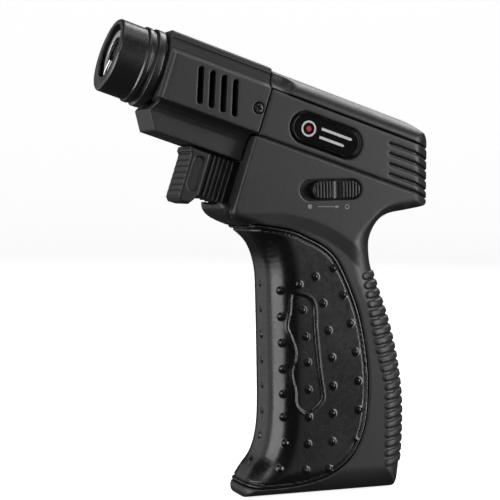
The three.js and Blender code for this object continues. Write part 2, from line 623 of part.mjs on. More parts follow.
addPart('adjuster_body', upright([
  [2.9, 0.4], [4.1, 0.4], [4.1, 14.8], [1.2, 16.2], [1.2, 19], [0.6, 19], [0.6, 14], [1.4, 13.4],
  [1.4, 4], [2.9, 3.6],
], ADJUSTER_X, 0), BRASS);
const adjusterSlot = bar(ADJUSTER_X, 0.8, 4, 0.8, -0.4, 0.4);
addPart('flame_adjuster', upright([
  [0, 0.7], [2.6, 0.7], [2.6, 3.3], [1.1, 3.8], [1.1, 11.6], [0, 13],
], ADJUSTER_X, 0).subtract(adjusterSlot), DARK_STEEL);

export default group;
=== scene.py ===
import json
import math

import bmesh
import bpy
import numpy as np
import openvdb
from mathutils import Matrix, Vector


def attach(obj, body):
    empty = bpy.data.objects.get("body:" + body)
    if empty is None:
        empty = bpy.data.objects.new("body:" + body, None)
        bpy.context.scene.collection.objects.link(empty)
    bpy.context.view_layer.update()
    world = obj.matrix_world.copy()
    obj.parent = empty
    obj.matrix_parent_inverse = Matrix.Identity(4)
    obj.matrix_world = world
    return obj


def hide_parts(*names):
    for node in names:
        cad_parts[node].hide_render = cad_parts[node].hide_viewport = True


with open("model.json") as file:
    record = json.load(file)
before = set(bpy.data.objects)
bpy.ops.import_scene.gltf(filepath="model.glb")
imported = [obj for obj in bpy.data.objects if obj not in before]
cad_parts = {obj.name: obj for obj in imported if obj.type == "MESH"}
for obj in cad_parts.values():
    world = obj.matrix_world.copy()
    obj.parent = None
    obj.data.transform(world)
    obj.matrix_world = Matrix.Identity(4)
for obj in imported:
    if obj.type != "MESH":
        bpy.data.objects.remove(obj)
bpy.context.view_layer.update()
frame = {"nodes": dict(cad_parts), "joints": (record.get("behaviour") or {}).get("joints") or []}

# ---- the torch's own coordinates ---------------------------------------------------
# Shapes are worked out in millimetres. X and Z are those of the row frame apart from
# SHIFT. U runs rearwards along the barrel from the muzzle rim, V upwards from its axis.
MM = 0.001
JOINTS = {joint["name"]: joint for joint in frame["joints"]}
COS, _, MINUS_SIN = JOINTS["trigger_slide"]["axis"]
SIN = -MINUS_SIN
MUZZLE_X, MUZZLE_Z = -46.6, 137.4
PIN_U, PIN_V = 63.5, -4.5
SHIFT = JOINTS["lever_pivot"]["pos_m"][0] / MM - (MUZZLE_X + PIN_U * COS + PIN_V * SIN)

HALF_WIDTH = 12.9
NOSE_FRONT, NOSE_REAR = 15.1, 49.0
FRAME_FRONT = 49.3
LOWER_FRONT = 48.3
COVER_BASE, COVER_TOP = 5.8, 12.7
SHELL_TOP = 5.5
SPLIT_V = -9.6
PANEL_FLOOR = -8.9
BORE_R, GUARD_R, NOSE_BORE_R = 8.9, 11.4, 10.2
FLAME_R, FLAME_V = 7.2, 1.3
REAR_CENTRE, REAR_R = 47.0, 14.0
BASE_VALVE_X, ADJUSTER_X = 14.0, 27.0
BASE_BORE_R, BASE_BORE_TOP = 4.5, 16
CAP_X, CAP_Y = 12.0, 6.0
CAP_BORE_R, CAP_BORE_FLOOR = 3.7, 76
SEAM_GAP = 0.17
WALL = 2.0
BADGE_U, BADGE_V = 71.0, -2.4
BADGE_LENGTH, BADGE_HEIGHT = 24.8, 9.5
SWITCH_X, SWITCH_Z, SWITCH_TILT = 21.2, 97.0, 0.03
SLOT_X, PAD_X, PLATE_X = 22.1, 23.7, 23.1
SLOT_LENGTH, SLOT_HEIGHT = 20.9, 6.3
NOSE_SCREW = (46.8, -1.7)


def at(u, v):
    """Side-view x and z of a point given along and above the barrel axis."""
    return MUZZLE_X + u * COS + v * SIN, MUZZLE_Z - u * SIN + v * COS


FRAME_SCREWS = [at(54.5, -13), at(98, 0), (43.8, 24), at(92.5, -13.2)]
SCREW_POST_R, SCREW_BORE_R = 2.6, 1.5

# Barrel directions as a matrix: its columns are U, Y and V.
BARREL = Matrix(((COS, 0, SIN, MUZZLE_X), (0, 1, 0, 0), (-SIN, 0, COS, MUZZLE_Z), (0, 0, 0, 1)))
IDENTITY = Matrix.Identity(4)


# ---- signed distances ----------------------------------------------------------------
class Grid:
    """A box of points in millimetres, with one array for each direction."""

    def __init__(self, low, high, step):
        self.low = np.array(low, float)
        self.step = step
        counts = [int(math.ceil((b - a) / step)) + 1 for a, b in zip(low, high)]
        self.a, self.b, self.c = np.ogrid[0:counts[0], 0:counts[1], 0:counts[2]]
        self.a = (low[0] + step * self.a).astype(np.float32)
        self.b = (low[1] + step * self.b).astype(np.float32)
        self.c = (low[2] + step * self.c).astype(np.float32)
        self.shape = counts


def round_and(a, b, r):
    """Both solids at once, with the edge where they meet rounded to radius r."""
    rounded = np.hypot(np.maximum(a + r, 0), np.maximum(b + r, 0))
    return np.minimum(np.maximum(a, b), -r) + rounded


def round_or(a, b, r):
    """Either solid, with the inner corner where they meet filled to radius r."""
    filled = np.hypot(np.maximum(r - a, 0), np.maximum(r - b, 0))
    return np.maximum(np.minimum(a, b), r) - filled


def cut(a, b, r=0.0):
    """The first solid without the second."""
    return round_and(a, -b, r) if r else np.maximum(a, -b)


def ramp(x, start, end):
    """0 before start, 1 after end, and smooth between them."""
    t = np.clip((x - start) / (end - start), 0, 1)
    return t * t * (3 - 2 * t)


def smooth(points, steps=5, closed=False):
    """More points on a smooth curve through these."""
    p = [np.array(q, float) for q in points]
    count = len(p)
    made = []
    for i in range(count if closed else count - 1):
        if closed:
            before, start, end, after = (p[(i + k) % count] for k in (-1, 0, 1, 2))
        else:
            before, start, end = p[max(i - 1, 0)], p[i], p[i + 1]
            after = p[min(i + 2, count - 1)]
        for k in range(steps):
            t = k / steps
            bend = 2 * before - 5 * start + 4 * end - after
            lift = 3 * (start - end) + after - before
            made.append(tuple(start + 0.5 * (t * (end - before) + t * t * bend + t ** 3 * lift)))
    if not closed:
        made.append(tuple(p[-1]))
    return made


def outline(a, c, points):
    """Signed distance from a closed outline, at the grid's a and c."""
    best = np.full(np.broadcast(a, c).shape, 1e9, np.float32)
    inside = np.zeros(best.shape, bool)
    for (a0, c0), (a1, c1) in zip(points, points[1:] + points[:1]):
        ea, ec = a1 - a0, c1 - c0
        length2 = ea * ea + ec * ec
        if length2 < 1e-9:
            continue
        pa, pc = a - a0, c - c0
        t = np.clip((pa * ea + pc * ec) / length2, 0, 1)
        best = np.minimum(best, (pa - t * ea) ** 2 + (pc - t * ec) ** 2)
        if abs(ec) > 1e-9:
            inside ^= ((c0 > c) != (c1 > c)) & (a < ea * (c - c0) / ec + a0)
    return np.where(inside, -1, 1).astype(np.float32) * np.sqrt(best)


def capsule(a, c, centre, length, height, tilt=0.0):
    """Signed distance from a bar with round ends."""
    pa, pc = a - centre[0], c - centre[1]
    along = pa * math.cos(tilt) + pc * math.sin(tilt)
    across = pc * math.cos(tilt) - pa * math.sin(tilt)
    r = height / 2
    return np.hypot(np.maximum(np.abs(along) - (length / 2 - r), 0), across) - r


def box(values):
    """Signed distance from a box, out of (coordinate, low, high) for each direction."""
    slabs = [np.abs(x - (start + end) / 2) - (end - start) / 2 for x, start, end in values]
    return np.maximum.reduce(np.broadcast_arrays(*slabs))


# ---- from distances to Blender objects ----------------------------------------------
OUTSIDE = 3.0  # the distance given to everything beyond a grid


def place(points, matrix):
    """Points in millimetres under a matrix, in the row frame's metres."""
    m = np.array(matrix)
    moved = points @ m[:3, :3].T + m[:3, 3]
    return (moved + (SHIFT, 0, 0)) * MM


def new_object(name, points, faces):
    """A smooth-shaded mesh object in the scene."""
    mesh = bpy.data.meshes.new(name)
    mesh.from_pydata(np.asarray(points).tolist(), [], faces)
    mesh.update()
    mesh.shade_smooth()
    made = bpy.data.objects.new(name, mesh)
    bpy.context.scene.collection.objects.link(made)
    return made


def signed_volume(points, quads):
    """A multiple of the volume, below zero when the faces look inwards."""
    a, b, c, d = (points[quads[:, k]] for k in range(4))
    return (np.einsum("ij,ij->i", a, np.cross(b, c)) + np.einsum("ij,ij->i", a, np.cross(c, d))).sum()


def surface(name, grid, distance, matrix=IDENTITY, mirror=False):
    """The zero surface of a distance field as a smooth closed mesh."""
    volume = openvdb.FloatGrid(OUTSIDE)
    volume.copyFromArray(np.array(np.broadcast_to(distance, grid.shape), np.float32, order="C"))
    points, triangles, quads = volume.convertToPolygons(isovalue=0.0, adaptivity=0.0)
    points = grid.low + grid.step * points.astype(float)
    if mirror:
        points[:, 1] *= -1
    points = place(points, matrix)
    if signed_volume(points, quads) < 0:
        quads = quads[:, ::-1]
        triangles = triangles[:, ::-1]
    return new_object(name, points, quads.tolist() + triangles.tolist())


def lathe(name, profile, matrix, segments=96, lift=0.0, lift_within=0.0):
    """A closed profile of (radius, distance) turned about the matrix's own X axis.

    What lies within the radius lift_within is raised by lift, which makes it off-centre.
    """
    points, faces = [], []
    count = len(profile)
    for i in range(segments):
        a = 2 * math.pi * i / segments
        for r, d in profile:
            points.append((d, r * math.cos(a), r * math.sin(a) + (lift if r < lift_within else 0)))
        following = (i + 1) % segments
        for k in range(count):
            n = (k + 1) % count
            faces.append((i * count + k, i * count + n, following * count + n, following * count + k))
    made = new_object(name, place(np.array(points, float), matrix), faces)
    tidy(made)
    return made


def tidy(made):
    """Merges doubled points and turns every face outwards."""
    work = bmesh.new()
    work.from_mesh(made.data)
    bmesh.ops.remove_doubles(work, verts=work.verts, dist=1e-6)
    bmesh.ops.recalc_face_normals(work, faces=work.faces)
    work.to_mesh(made.data)
    work.free()


def rounded_profile(points, r=0.25, steps=4):
    """A closed profile with each corner replaced by a small arc."""
    made = []
    count = len(points)
    for i in range(count):
        p, q, s = (np.array(points[(i + k) % count], float) for k in (-1, 0, 1))
        before, after = p - q, s - q
        short = min(np.linalg.norm(before), np.linalg.norm(after))
        reach = min(r, short * 0.45)
        start = q + before / np.linalg.norm(before) * reach
        end = q + after / np.linalg.norm(after) * reach
        for k in range(steps + 1):
            t = k / steps
            made.append(tuple((1 - t) ** 2 * start + 2 * t * (1 - t) * q + t * t * end))
    return made


def finish_piece(made, material, body, slot, *nodes):
    """Gives a piece its material and its body, and hides the nodes that it stands for. The slot is not
    used.
    """
    made.data.materials.clear()
    made.data.materials.append(material)
    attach(made, body)
    if nodes:
        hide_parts(*nodes)
    return made


# ---- materials ------------------------------------------------------------------------
class Shader:
    """A node tree with a Principled shader, and short ways to add to it."""

    def __init__(self, name, **values):
        self.material = bpy.data.materials.new(name)
        self.material.use_nodes = True
        self.tree = self.material.node_tree
        self.principled = self.tree.nodes["Principled BSDF"]
        self.place = self.add("ShaderNodeTexCoord").outputs["Object"]
        for key, value in values.items():
            self.principled.inputs[key.replace("_", " ")].default_value = value

    def add(self, kind, **settings):
        node = self.tree.nodes.new(kind)
        for key, value in settings.items():
            setattr(node, key, value)
        return node

    def link(self, source, target):
        self.tree.links.new(source, target)

    def noise(self, scale, detail=3.0, rough=0.55):
        node = self.add("ShaderNodeTexNoise")
        node.inputs["Scale"].default_value = scale
        node.inputs["Detail"].default_value = detail
        node.inputs["Roughness"].default_value = rough
        self.link(self.place, node.inputs["Vector"])
        return node.outputs["Fac"]

    def between(self, source, low, high, from_low=0.3, from_high=0.7):
        node = self.add("ShaderNodeMapRange")
        self.link(source, node.inputs["Value"])
        limits = {"From Min": from_low, "From Max": from_high, "To Min": low, "To Max": high}
        for key, value in limits.items():
            node.inputs[key].default_value = value
        return node.outputs["Result"]

    def combine(self, a, b, operation):
        node = self.add("ShaderNodeMath", operation=operation)
        self.link(a, node.inputs[0])
        if isinstance(b, float):
            node.inputs[1].default_value = b
        else:
            self.link(b, node.inputs[1])
        return node.outputs[0]

    def mix(self, factor, a, b):
        node = self.add("ShaderNodeMix", data_type="RGBA")
        self.link(factor, node.inputs["Factor"])
        for socket, value in ((node.inputs["A"], a), (node.inputs["B"], b)):
            if isinstance(value, tuple):
                socket.default_value = (*value, 1)
            else:
                self.link(value, socket)
        return node.outputs["Result"]

    def bump(self, height, distance):
        node = self.add("ShaderNodeBump")
        node.inputs["Strength"].default_value = 1.0
        node.inputs["Distance"].default_value = distance
        self.link(height, node.inputs["Height"])
        self.link(node.outputs["Normal"], self.principled.inputs["Normal"])

    def edges(self):
        """1 on sharp outer edges, 0 on flats."""
        geometry = self.add("ShaderNodeNewGeometry")
        return self.between(geometry.outputs["Pointiness"], 0.0, 1.0, 0.51, 0.56)


def moulded(name, colour, rough, grain=900.0, grain_depth=0.00003, edge_wear_and_highlight=0.5, shine=0.5):
    """Moulded plastic: spark-eroded grain, uneven gloss, and sharp edges painted paler, partly as rubbed
    wear and partly as a painted highlight.
    """
    s = Shader(name, Specular_IOR_Level=shine)
    patches = s.noise(45.0, 4.0)
    fine = s.noise(grain, 2.0, 0.6)
    dark = tuple(c * 0.86 for c in colour)
    light = tuple(min(1.0, c * 1.12) for c in colour)
    base = s.mix(s.between(patches, 0.0, 1.0), dark, light)
    # Sharp edges are painted paler: partly rubbed wear, partly a painted highlight standing in for the
    # bright lines that edges catch.
    wear_and_highlight_mask = s.combine(s.edges(), s.between(s.noise(160.0), 0.2, 1.0), "MULTIPLY")
    wear_and_highlight_colour = tuple(min(1.0, c * 2.0 + 0.08) for c in colour)
    wear_and_highlight_amount = s.combine(wear_and_highlight_mask, edge_wear_and_highlight, "MULTIPLY")
    s.link(s.mix(wear_and_highlight_amount, base, wear_and_highlight_colour), s.principled.inputs["Base Color"])
    uneven = s.between(patches, rough - 0.05, rough + 0.05)
    speckled = s.combine(uneven, s.between(fine, -0.04, 0.04), "ADD")
    s.link(speckled, s.principled.inputs["Roughness"])
    s.bump(fine, grain_depth)
    return s.material


def metal(name, colour, rough):
    """Turned metal: fine circular streaks and faint stains."""
    s = Shader(name, Metallic=1.0)
    stretch = s.add("ShaderNodeMapping")
    stretch.inputs["Scale"].default_value = (60.0, 2500.0, 2500.0)
    s.link(s.place, stretch.inputs["Vector"])
    streaks = s.add("ShaderNodeTexNoise")
    streaks.inputs["Scale"].default_value = 1.0
    s.link(stretch.outputs["Vector"], streaks.inputs["Vector"])
    stains = s.noise(220.0, 4.0)
    stained = tuple(c * 0.72 for c in colour)
    stain_amount = s.between(stains, 0.0, 1.0, 0.4, 0.75)
    s.link(s.mix(stain_amount, colour, stained), s.principled.inputs["Base Color"])
    s.link(s.between(stains, rough - 0.06, rough + 0.1), s.principled.inputs["Roughness"])
    s.bump(streaks.outputs["Fac"], 0.00001)
    return s.material


def soft(name, colour, rough, subsurface=0.0, transmission=0.0):
    """Rubber, nylon, ceramic and tubing: a faint mottle and a dull, uneven surface."""
    s = Shader(name, Subsurface_Weight=subsurface, Transmission_Weight=transmission)
    s.principled.inputs["Subsurface Scale"].default_value = 0.002
    mottle = s.noise(300.0, 4.0)
    dark = tuple(c * 0.85 for c in colour)
    s.link(s.mix(s.between(mottle, 0.0, 1.0), dark, colour), s.principled.inputs["Base Color"])
    s.link(s.between(mottle, rough - 0.05, rough + 0.08), s.principled.inputs["Roughness"])
    s.bump(s.noise(2500.0, 2.0), 0.00001)
    return s.material


def printed(name, colour, rough=0.4):
    """Pad-printed ink with slightly uneven cover."""
    s = Shader(name)
    cover = s.noise(1500.0, 3.0)
    faded = tuple(c * 0.8 for c in colour)
    s.link(s.mix(s.between(cover, 0.0, 1.0), faded, colour), s.principled.inputs["Base Color"])
    s.link(s.between(cover, rough - 0.05, rough + 0.1), s.principled.inputs["Roughness"])
    s.bump(cover, 0.000005)
    return s.material


FRAME_PLASTIC = moulded("frame_plastic", (0.024, 0.024, 0.025), 0.45)
COVER_PLASTIC = moulded("cover_plastic", (0.018, 0.018, 0.019), 0.42)
NOSE_PLASTIC = moulded("nose_plastic", (0.027, 0.027, 0.028), 0.45)
GRIP_PLASTIC = moulded("grip_plastic", (0.003, 0.003, 0.0033), 0.27, 600.0, 0.00002, edge_wear_and_highlight=0.2, shine=0.6)
GUARD_PLASTIC = moulded("guard_plastic", (0.01, 0.01, 0.011), 0.3, 1200.0, 0.00002, shine=1.0)
TRIGGER_PLASTIC = moulded("trigger_plastic", (0.012, 0.012, 0.013), 0.42)
SWITCH_PLASTIC = moulded("switch_plastic", (0.01, 0.01, 0.011), 0.4)
BADGE_GLOSS = moulded("badge_gloss", (0.003, 0.003, 0.0035), 0.1, 2500.0, 0.000002, edge_wear_and_highlight=0.1, shine=0.15)
STEEL = metal("steel", (0.62, 0.62, 0.63), 0.26)
BURNER_STEEL = metal("burner_steel", (0.78, 0.77, 0.75), 0.42)
DARK_STEEL = metal("dark_steel", (0.05, 0.05, 0.053), 0.38)
# Near-black steel for the air baffle, the part seen through the vents.
NEAR_BLACK_STEEL = metal("near_black_steel", (0.02, 0.02, 0.021), 0.6)
BRASS = metal("brass", (0.72, 0.52, 0.24), 0.28)
CERAMIC = soft("ceramic", (0.82, 0.8, 0.74), 0.3, subsurface=0.1)
RUBBER = soft("rubber", (0.02, 0.02, 0.02), 0.75)
NYLON = soft("inner_plastic", (0.7, 0.67, 0.58), 0.5, subsurface=0.15)
HOSE = soft("hose_clear", (0.75, 0.7, 0.5), 0.3, subsurface=0.1, transmission=0.35)
WIRE = soft("wire_red", (0.06, 0.006, 0.005), 0.5)
WHITE_INK = printed("white_ink", (0.72, 0.72, 0.72))
RED_INK = printed("red_ink", (0.55, 0.02, 0.015))
GREY_INK = printed("grey_ink", (0.3, 0.3, 0.31))


# ---- shared outlines --------------------------------------------------------------------
BACK_CURVE = [
    (61, 97), (60.3, 93.6), (56.5, 91.8), (50, 90.5), (44.3, 89.4), (40.9, 87.2), (39.2, 83.5),
    (38.7, 78.6), (39.5, 72.8), (41.9, 67), (45, 59), (47.7, 50.5), (49.9, 41), (51.3, 31),
    (51.6, 22), (51.2, 12), (50.2, 3),
]
FRONT_CURVE = [
    (-4.6, 2.4), (-3.7, 5), (-1.2, 8.8), (2.2, 13.4), (4, 19.5), (4.6, 28), (4.3, 45), (3.8, 62),
    (3.2, 72), (0.6, 79.4), (-4.2, 84.6), (-8, 86.6), (-10.2, 87.8),
]
BODY_OUTLINE = [
    at(LOWER_FRONT, -34.9), at(LOWER_FRONT, SPLIT_V), at(FRAME_FRONT, SPLIT_V),
    at(FRAME_FRONT, SHELL_TOP), at(110, SHELL_TOP), (61, 104),
    *smooth(BACK_CURVE), (49.2, 0.6), (48.2, 0), (-3.4, 0), (-4.4, 0.8), *smooth(FRONT_CURVE),
]
TANK_SEAM = [
    (-12, 80.5), (-7, 84), (-4.6, 85.6), (-1.4, 86), (6.2, 85), (10.4, 84), (14.3, 82.3), (19.1, 80),
    (23.2, 77), (26.2, 73), (29.2, 67), (31.8, 60.8), (33.7, 54.4), (35.3, 46.3), (36.2, 39), (36.3, 32),
    (35.7, 23.6), (33.3, 16.3), (29.2, 10.6), (22, 6.2), (14.3, 4.1), (6, 3.4), (-1, 3.6), (-6, 4.5),
    (-9, 5.2),
]
TANK_OUTLINE = [*smooth(TANK_SEAM), (-20, 5.2), (-20, 80.5)]
LOBE = [(-6, 86.6), (-9.4, 87.3), (-11.8, 88.6), (-13.3, 90.4), (-13.7, 92), (-13.2, 93.1), (-8, 91.4)]
LOBE_HALF, LOBE_ROUND = 10.6, 3.0
CREST = [
    (-20, 89.8), (1, 89.7), (6.2, 89.6), (14.2, 88), (21.5, 85.4), (27.8, 81.8), (32.8, 77.6), (39, 72),
]
CREST_OUTLINE = [*smooth(CREST), (60, 60), (60, -20), (-40, -20), (-40, 89.8)]


def body_distance(g):
    """The whole frame and grip as one rounded solid, and U and V at the grid's points."""
    u = (g.a - MUZZLE_X) * COS - (g.c - MUZZLE_Z) * SIN
    v = (g.a - MUZZLE_X) * SIN + (g.c - MUZZLE_Z) * COS
    side = outline(g.a, g.c, BODY_OUTLINE)
    grip = ramp(g.c, 93, 80)
    tang = ramp(g.c, 100, 93) * ramp(g.a, 30, 42)
    radius = 0.7 + 8.2 * grip + 3.3 * tang * (1 - grip)
    below_crest = -outline(g.a, g.c, CREST_OUTLINE)
    half = HALF_WIDTH - np.clip(0.2 * below_crest, 0, 0.8)
    across = np.abs(g.b) - half
    qa, qb = side + radius, across + radius
    solid = np.hypot(np.maximum(qa, 0), np.maximum(qb, 0)) + np.minimum(np.maximum(qa, qb), 0) - radius
    round_back = np.hypot(np.maximum(g.a - REAR_CENTRE, 0), g.b) - REAR_R
    return round_and(solid, round_back, 0.5), u, v


def backstrap(g, solid):
    """Raised pads with round ends, one above the other, round the back of the grip."""
    pitch, rise, height = 3.07, math.tan(math.radians(8)), 0.55
    count, lowest = 20, 9.6
    heights = [8, 9, 34, 46, 68, 75]
    starts = [42.6, 42.7, 42.4, 39, 34.3, 33]
    left = np.interp(g.c, heights, starts).astype(np.float32)
    level = (g.c - rise * (g.a - 45) - lowest) / pitch
    nearest = np.clip(np.round(level), 0, count)
    across = (level - nearest) * pitch
    half = 1.0
    pad = np.hypot(np.maximum(left + half - g.a, 0), across) - half
    return solid - height * (1 - ramp(pad, -0.22, 0.16)) + 0.15


def serrations(g, v, solid):
    """Four grooves round the rear of the upper frame."""
    for level in (2.2, -0.9, -4.0, -7.1):
        groove = np.hypot(np.maximum(42.8 - g.a, 0), v - level) - 0.44
        solid = cut(solid, np.maximum(groove, -(solid + 1.0)), 0.25)
    return solid


def frame_distance(g):
    """One half of the frame, hollow, before its own cut-outs."""
    solid, u, v = body_distance(g)
    outer = solid
    lobe = outline(g.a, g.c, smooth(LOBE, closed=True))
    lobe = round_and(lobe, np.abs(g.b) - LOBE_HALF, LOBE_ROUND)
    solid = np.minimum(solid, lobe)
    seam = outline(g.a, g.c, TANK_OUTLINE)
    solid = backstrap(g, solid)
    solid = serrations(g, v, solid)
    groove = np.maximum(np.abs(v - SPLIT_V) - 0.36, -(outer + 1.3))
    solid = cut(solid, groove, 0.18)
    solid = round_and(solid, SEAM_GAP - seam, 0.4)
    hollow = np.maximum(outer + WALL, WALL + SEAM_GAP - seam)
    igniter_room = box([(u, 40, 97), (g.b, -10.9, 10.9), (v, -7.6, 9)])
    solid = cut(solid, np.minimum(hollow, igniter_room))
    for x, z in FRAME_SCREWS:
        axis = np.hypot(g.a - x, g.c - z)
        post = np.maximum(axis - SCREW_POST_R, np.abs(g.b) - 11.4)
        bore = np.maximum(axis - SCREW_BORE_R, np.abs(g.b) - 8.6)
        solid = cut(np.minimum(solid, post), bore)
    trigger_room = box([(u, 40, 66), (g.b, -5.9, 5.9), (v, -33, -18.4)])
    solid = cut(solid, trigger_room)
    for x in (BASE_VALVE_X, ADJUSTER_X):
        bore = np.maximum(np.hypot(g.a - x, g.b) - BASE_BORE_R, g.c - BASE_BORE_TOP)
        solid = cut(solid, bore, 0.3)
    play = 0.7
    badge = capsule(u, v, (BADGE_U, BADGE_V), BADGE_LENGTH + play, BADGE_HEIGHT + play)
    badge = np.maximum(badge, (HALF_WIDTH - 0.9) - np.abs(g.b))
    solid = cut(solid, badge, 0.25)
    return np.maximum(solid, g.b + 0.1)


def frame_shells():
    """The left and right shells, from one half field and its mirror image."""
    g = Grid((-18.6, -14.4, -1.2), (62.6, 1.2, 129.6), 0.33)
    right = frame_distance(g)
    slot = capsule(g.a, g.c, (SLOT_X, SWITCH_Z), SLOT_LENGTH, SLOT_HEIGHT, SWITCH_TILT)
    left = cut(right, np.maximum(slot, g.b + 9), 0.35)
    left = surface("left_shell", g, left)
    finish_piece(left, FRAME_PLASTIC, "torch", "frame_plastic", "frame_left_shell")
    for x, z in FRAME_SCREWS:
        sink = np.maximum(np.hypot(g.a - x, g.c - z) - SCREW_POST_R, 11.2 + g.b)
        right = cut(right, sink, 0.3)
    right = surface("right_shell", g, right, mirror=True)
    finish_piece(right, FRAME_PLASTIC, "torch", "frame_plastic", "frame_right_shell")


# ---- fuel tank ------------------------------------------------------------------------------
BUMP_COLUMNS = [
    [(6.6, 65.6), (6.9, 57.4), (7.2, 49.2), (7.5, 41), (7.7, 33.2), (7.8, 25.9), (8.1, 17.7), (6.2, 9.8)],
    [
        (11.8, 67.5), (13.3, 59.4), (14.4, 51), (15.1, 42.9), (15.4, 34.3), (15.4, 25.8), (15.1, 17.3),
        (14.5, 9),
    ],
    [
        (17.3, 69.8), (20, 61.4), (21.9, 52.8), (23.2, 44.2), (23.7, 35.2), (23.7, 26.5), (23.6, 17.6),
        (22.6, 8.9),
    ],
    [(23.5, 72.3), (27, 63.9), (29.6, 54.8), (31.5, 45.6), (32.5, 36.4), (32.8, 27.1), (31.9, 17.9)],
]
WAVY = [
    (9.6, 64.4), (9.2, 59), (8.5, 54.3), (9.6, 51.1), (10.9, 46.8), (10.9, 44.6), (9.9, 39.5), (11, 34),
    (11.2, 30.2), (12.9, 27.7), (15.7, 27), (19.9, 30.7), (20.1, 33.6), (19, 39.9), (17.5, 52.9),
    (16.6, 61.9), (11.6, 64.6),
]
BUMP_R, BUMP_RISE = 1.15, 0.65


def dome(g, solid, centre):
    """Adds one round bump, working only on the grid points near it."""
    reach = 2.4
    ranges = []
    for values, middle in zip((g.a, g.b, g.c), centre):
        flat = values.ravel()
        ranges.append(slice(np.searchsorted(flat, middle - reach), np.searchsorted(flat, middle + reach)))
    i, j, k = ranges
    ball = np.sqrt(
        (g.a[i] - centre[0]) ** 2 + (g.b[:, j] - centre[1]) ** 2 + (g.c[:, :, k] - centre[2]) ** 2
    ) - BUMP_R
    solid[i, j, k] = round_or(solid[i, j, k], ball, 0.3)


def skin_y(g, solid, x, z):
    """How far out the surface lies at a side-view point."""
    i = int(round((x - g.low[0]) / g.step))
    k = int(round((z - g.low[2]) / g.step))
    column = solid[i, :, k]
    j = int(np.argmax(column < 0))
    share = column[j - 1] / (column[j - 1] - column[j])
    return float(g.b.ravel()[j - 1] + share * g.step)


def front_x(g, solid, z):
    """Where the front strap's surface lies in the middle plane."""
    j = int(round(-g.low[1] / g.step))
    k = int(round((z - g.low[2]) / g.step))
    column = solid[:, j, k]
    return float(g.a.ravel()[int(np.argmax(column < 0))])


def fuel_tank():
    """The tank that forms the front and sides of the grip."""
    g = Grid((-18.6, -14.4, 1.8), (38.4, 14.4, 92.4), 0.34)
    body, _, _ = body_distance(g)
    seam = outline(g.a, g.c, TANK_OUTLINE)
    solid = round_and(body, seam + SEAM_GAP, 0.5)
    bead = np.abs(seam + 1.45) - 0.3
    solid = cut(solid, np.maximum(bead, -(body + 0.5)), 0.15)
    wavy = outline(g.a, g.c, smooth(WAVY, closed=True))
    solid = solid + 0.45 * (1 - ramp(wavy, -0.5, 0.05)) - 0.12 * np.exp(-((wavy - 0.25) / 0.35) ** 2)
    centres = []
    for column in BUMP_COLUMNS:
        for x, z in column:
            y = skin_y(g, solid, x, z)
            centres += [(x, y + BUMP_R - BUMP_RISE, z), (x, -(y + BUMP_R - BUMP_RISE), z)]
    front_top, front_pitch, front_count = 67.2, 8.1, 8
    for i in range(front_count):
        z = front_top - front_pitch * i
        centres.append((front_x(g, solid, z) + BUMP_R - BUMP_RISE, 0.0, z))
    for centre in centres:
        dome(g, solid, centre)
    hollow = np.maximum(body + 2.4, seam + 2.4)
    solid = cut(solid, hollow)
    for x in (BASE_VALVE_X, ADJUSTER_X):
        solid = cut(solid, np.maximum(np.hypot(g.a - x, g.b) - BASE_BORE_R, g.c - BASE_BORE_TOP))
    cap_bore = np.hypot(g.a - CAP_X, g.b - CAP_Y) - CAP_BORE_R
    solid = cut(solid, np.maximum(cap_bore, CAP_BORE_FLOOR - g.c))
    made = surface("tank", g, solid)
    finish_piece(made, GRIP_PLASTIC, "torch", "grip_plastic", "fuel_tank")


# ---- nose and top cover ----------------------------------------------------------------------
FLUTE_Y, FLUTE_V, FLUTE_R = 14.2, 11.1, 5.75
FLUTE_LINES = ((8.5, 10.0), (10.0, 7.1))
KEEL_HALF, KEEL_FLOOR = 7.6, -18.3
VENTS, VENT_PITCH, VENT_U, VENT_V = 4, 3.9, 26.9, -1.3
VENT_LENGTH, VENT_WIDTH = 11.3, 1.95


